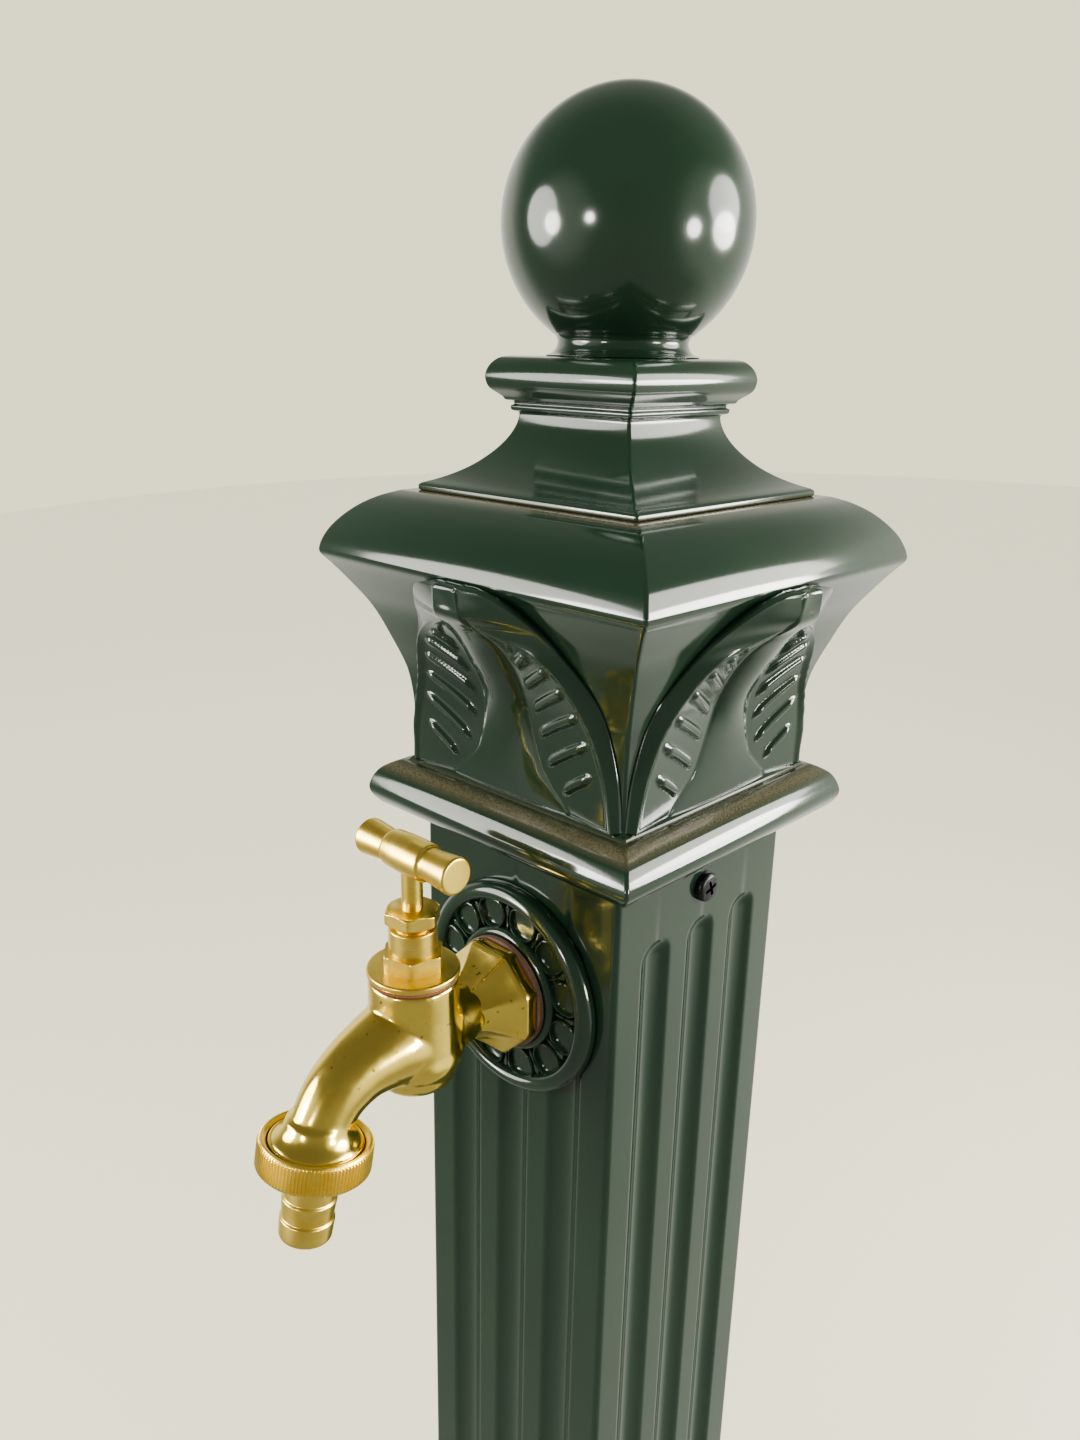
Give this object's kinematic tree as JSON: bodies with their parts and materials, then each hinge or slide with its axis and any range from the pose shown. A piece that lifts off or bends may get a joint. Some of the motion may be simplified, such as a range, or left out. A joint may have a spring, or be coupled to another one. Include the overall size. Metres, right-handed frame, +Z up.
{
  "type": "drinking fountain",
  "caption": "Fluted square pedestal water fountain with a moulded capital, ball finial, round wall plate and a brass screw-down tap with a hose union.",
  "frame": {"origin": "on the ground, under the middle of the column", "axes": "+Z up along the column, the tap points to -Y, +X is the fountain's left seen from behind the tap"},
  "size_m": [0.17, 0.216, 1],
  "materials": {
    "green_casting": "gloss dark green powder coat on cast aluminium",
    "black_screw": "black oxide",
    "polished_brass": "polished casting",
    "turned_brass": "satin, turned",
    "zinc_steel": "zinc plated",
    "grey_iron": "galvanised malleable iron",
    "fibre_washer": "red-brown fibre",
    "graphite_packing": "graphite packing",
    "rubber_seal": "black rubber"
  },
  "bodies": {
    "fountain": {"base_plinth": "green_casting", "column": "green_casting", "capital": "green_casting", "cap_pedestal": "green_casting", "finial_ball": "green_casting", "rosette": "green_casting", "finial_stud": "zinc_steel", "finial_washer": "zinc_steel", "finial_nut": "zinc_steel", "face_screws": "black_screw", "backing_washer": "zinc_steel", "tap_locknut": "turned_brass", "wall_washer": "fibre_washer", "bonnet_gasket": "fibre_washer", "tap_body": "polished_brass", "bonnet": "turned_brass", "gland_packing": "graphite_packing", "gland_nut": "turned_brass", "riser_pipe": "zinc_steel", "inlet_nipple": "zinc_steel", "inlet_washer": "zinc_steel", "inlet_locknut": "zinc_steel", "supply_elbow": "grey_iron", "inlet_elbow": "grey_iron"},
    "jumper": {"jumper_valve": "turned_brass", "seat_washer": "rubber_seal", "seat_washer_nut": "turned_brass"},
    "spindle": {"spindle": "turned_brass", "tee_handle": "turned_brass"},
    "tail": {"hose_tail": "turned_brass", "union_washer": "rubber_seal"},
    "ring_nut": {"union_nut": "turned_brass"}
  },
  "joints": [
    {"name": "jumper_lift", "type": "slide", "parent": "fountain", "child": "jumper", "axis": [0, 0, 1], "range_m": [0, 0.004]},
    {"name": "handle_turn", "type": "hinge", "parent": "jumper", "child": "spindle", "pos_m": [0, -0.0798, 0.7468], "axis": [0, 0, 1], "range_deg": [0, 720]},
    {"name": "union_drop", "type": "slide", "parent": "fountain", "child": "tail", "axis": [0, -0.1822, -0.9833], "range_m": [0, 0.0037]},
    {"name": "union_turn", "type": "hinge", "parent": "tail", "child": "ring_nut", "pos_m": [0, -0.1142, 0.7319], "axis": [0, -0.1822, -0.9833], "range_deg": [0, 720]}
  ],
  "couplings": [
    {"joint": "jumper_lift", "follows": "handle_turn", "m_per_rad": 0.00031831},
    {"joint": "union_drop", "follows": "union_turn", "m_per_rad": 0.00028871}
  ]
}
